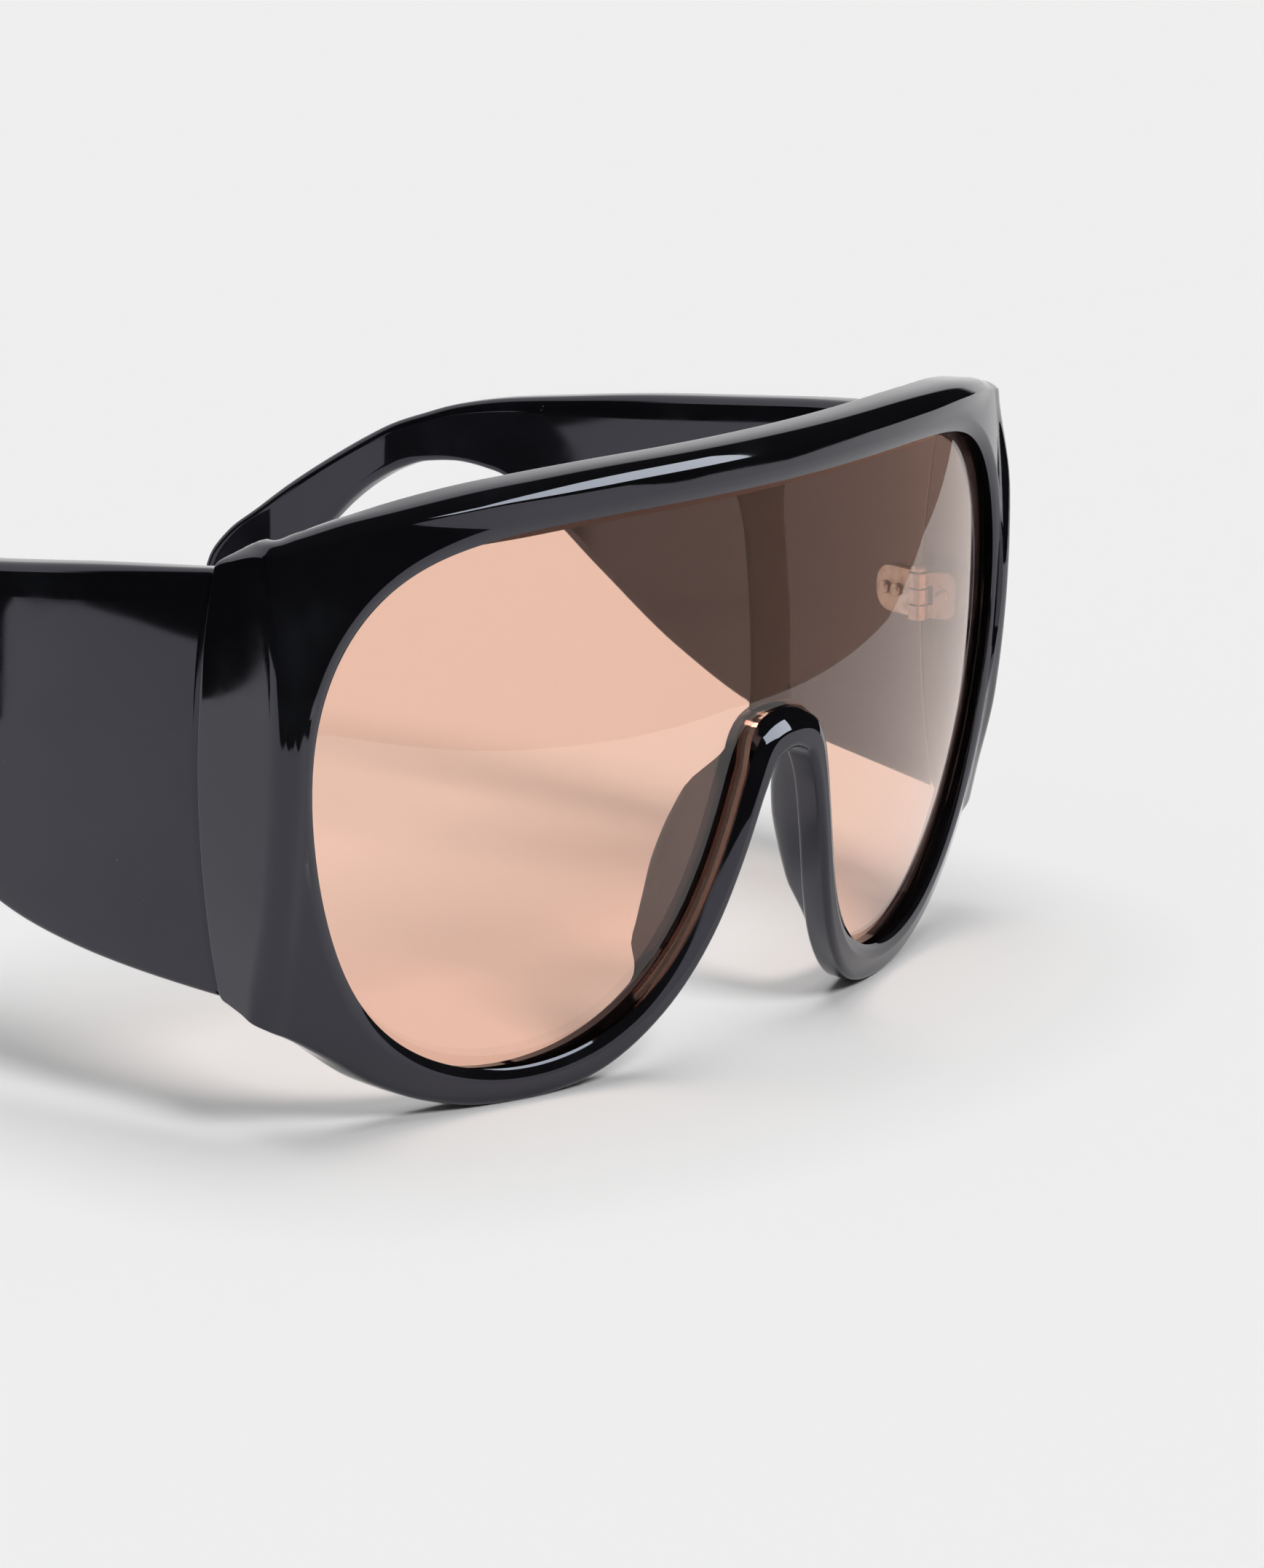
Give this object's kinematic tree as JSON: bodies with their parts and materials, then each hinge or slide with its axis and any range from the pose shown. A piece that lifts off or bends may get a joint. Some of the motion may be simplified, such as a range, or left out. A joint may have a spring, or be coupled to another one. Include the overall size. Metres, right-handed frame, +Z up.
{
  "type": "round sunglasses",
  "caption": "Oversized shield sunglasses: a rounded one-piece peach lens in a glossy black wrap-around front with moulded nose pads and broad folding temples that narrow to ear hooks",
  "frame": {"origin": "centre of the bounding box in X and Y, on the table the glasses stand on in Z, temples open", "axes": "X across the face from the wearer's right (-X) to the wearer's left (+X), Y from the lens (-Y) back along the temples to the ear hooks (+Y), Z up"},
  "size_m": [0.1484, 0.1577, 0.0802],
  "materials": {
    "gloss_black": "polished injection-moulded black plastic",
    "peach_lens": "clear peach tint, polished",
    "hinge_steel": "plain nickel-silver tone"
  },
  "bodies": {
    "front": {"front_frame": "gloss_black", "lens": "peach_lens", "hinge_front_leaf_right": "hinge_steel", "hinge_front_leaf_left": "hinge_steel", "hinge_screw_right": "hinge_steel", "hinge_screw_left": "hinge_steel", "rivet_front_leaf_right_1": "hinge_steel", "rivet_front_leaf_left_1": "hinge_steel"},
    "left_temple": {"temple_left": "gloss_black", "hinge_temple_leaf_left": "hinge_steel", "rivet_temple_leaf_left_1": "hinge_steel", "rivet_temple_leaf_left_2": "hinge_steel"},
    "right_temple": {"temple_right": "gloss_black", "hinge_temple_leaf_right": "hinge_steel", "rivet_temple_leaf_right_1": "hinge_steel", "rivet_temple_leaf_right_2": "hinge_steel"}
  },
  "joints": [
    {"name": "left_fold", "type": "hinge", "parent": "front", "child": "left_temple", "pos_m": [0.06385, -0.0488, 0.0442], "axis": [0, 0, 1], "range_deg": [0, 85.5]},
    {"name": "right_fold", "type": "hinge", "parent": "front", "child": "right_temple", "pos_m": [-0.06385, -0.0488, 0.0442], "axis": [0, 0, -1], "range_deg": [0, 79]}
  ]
}
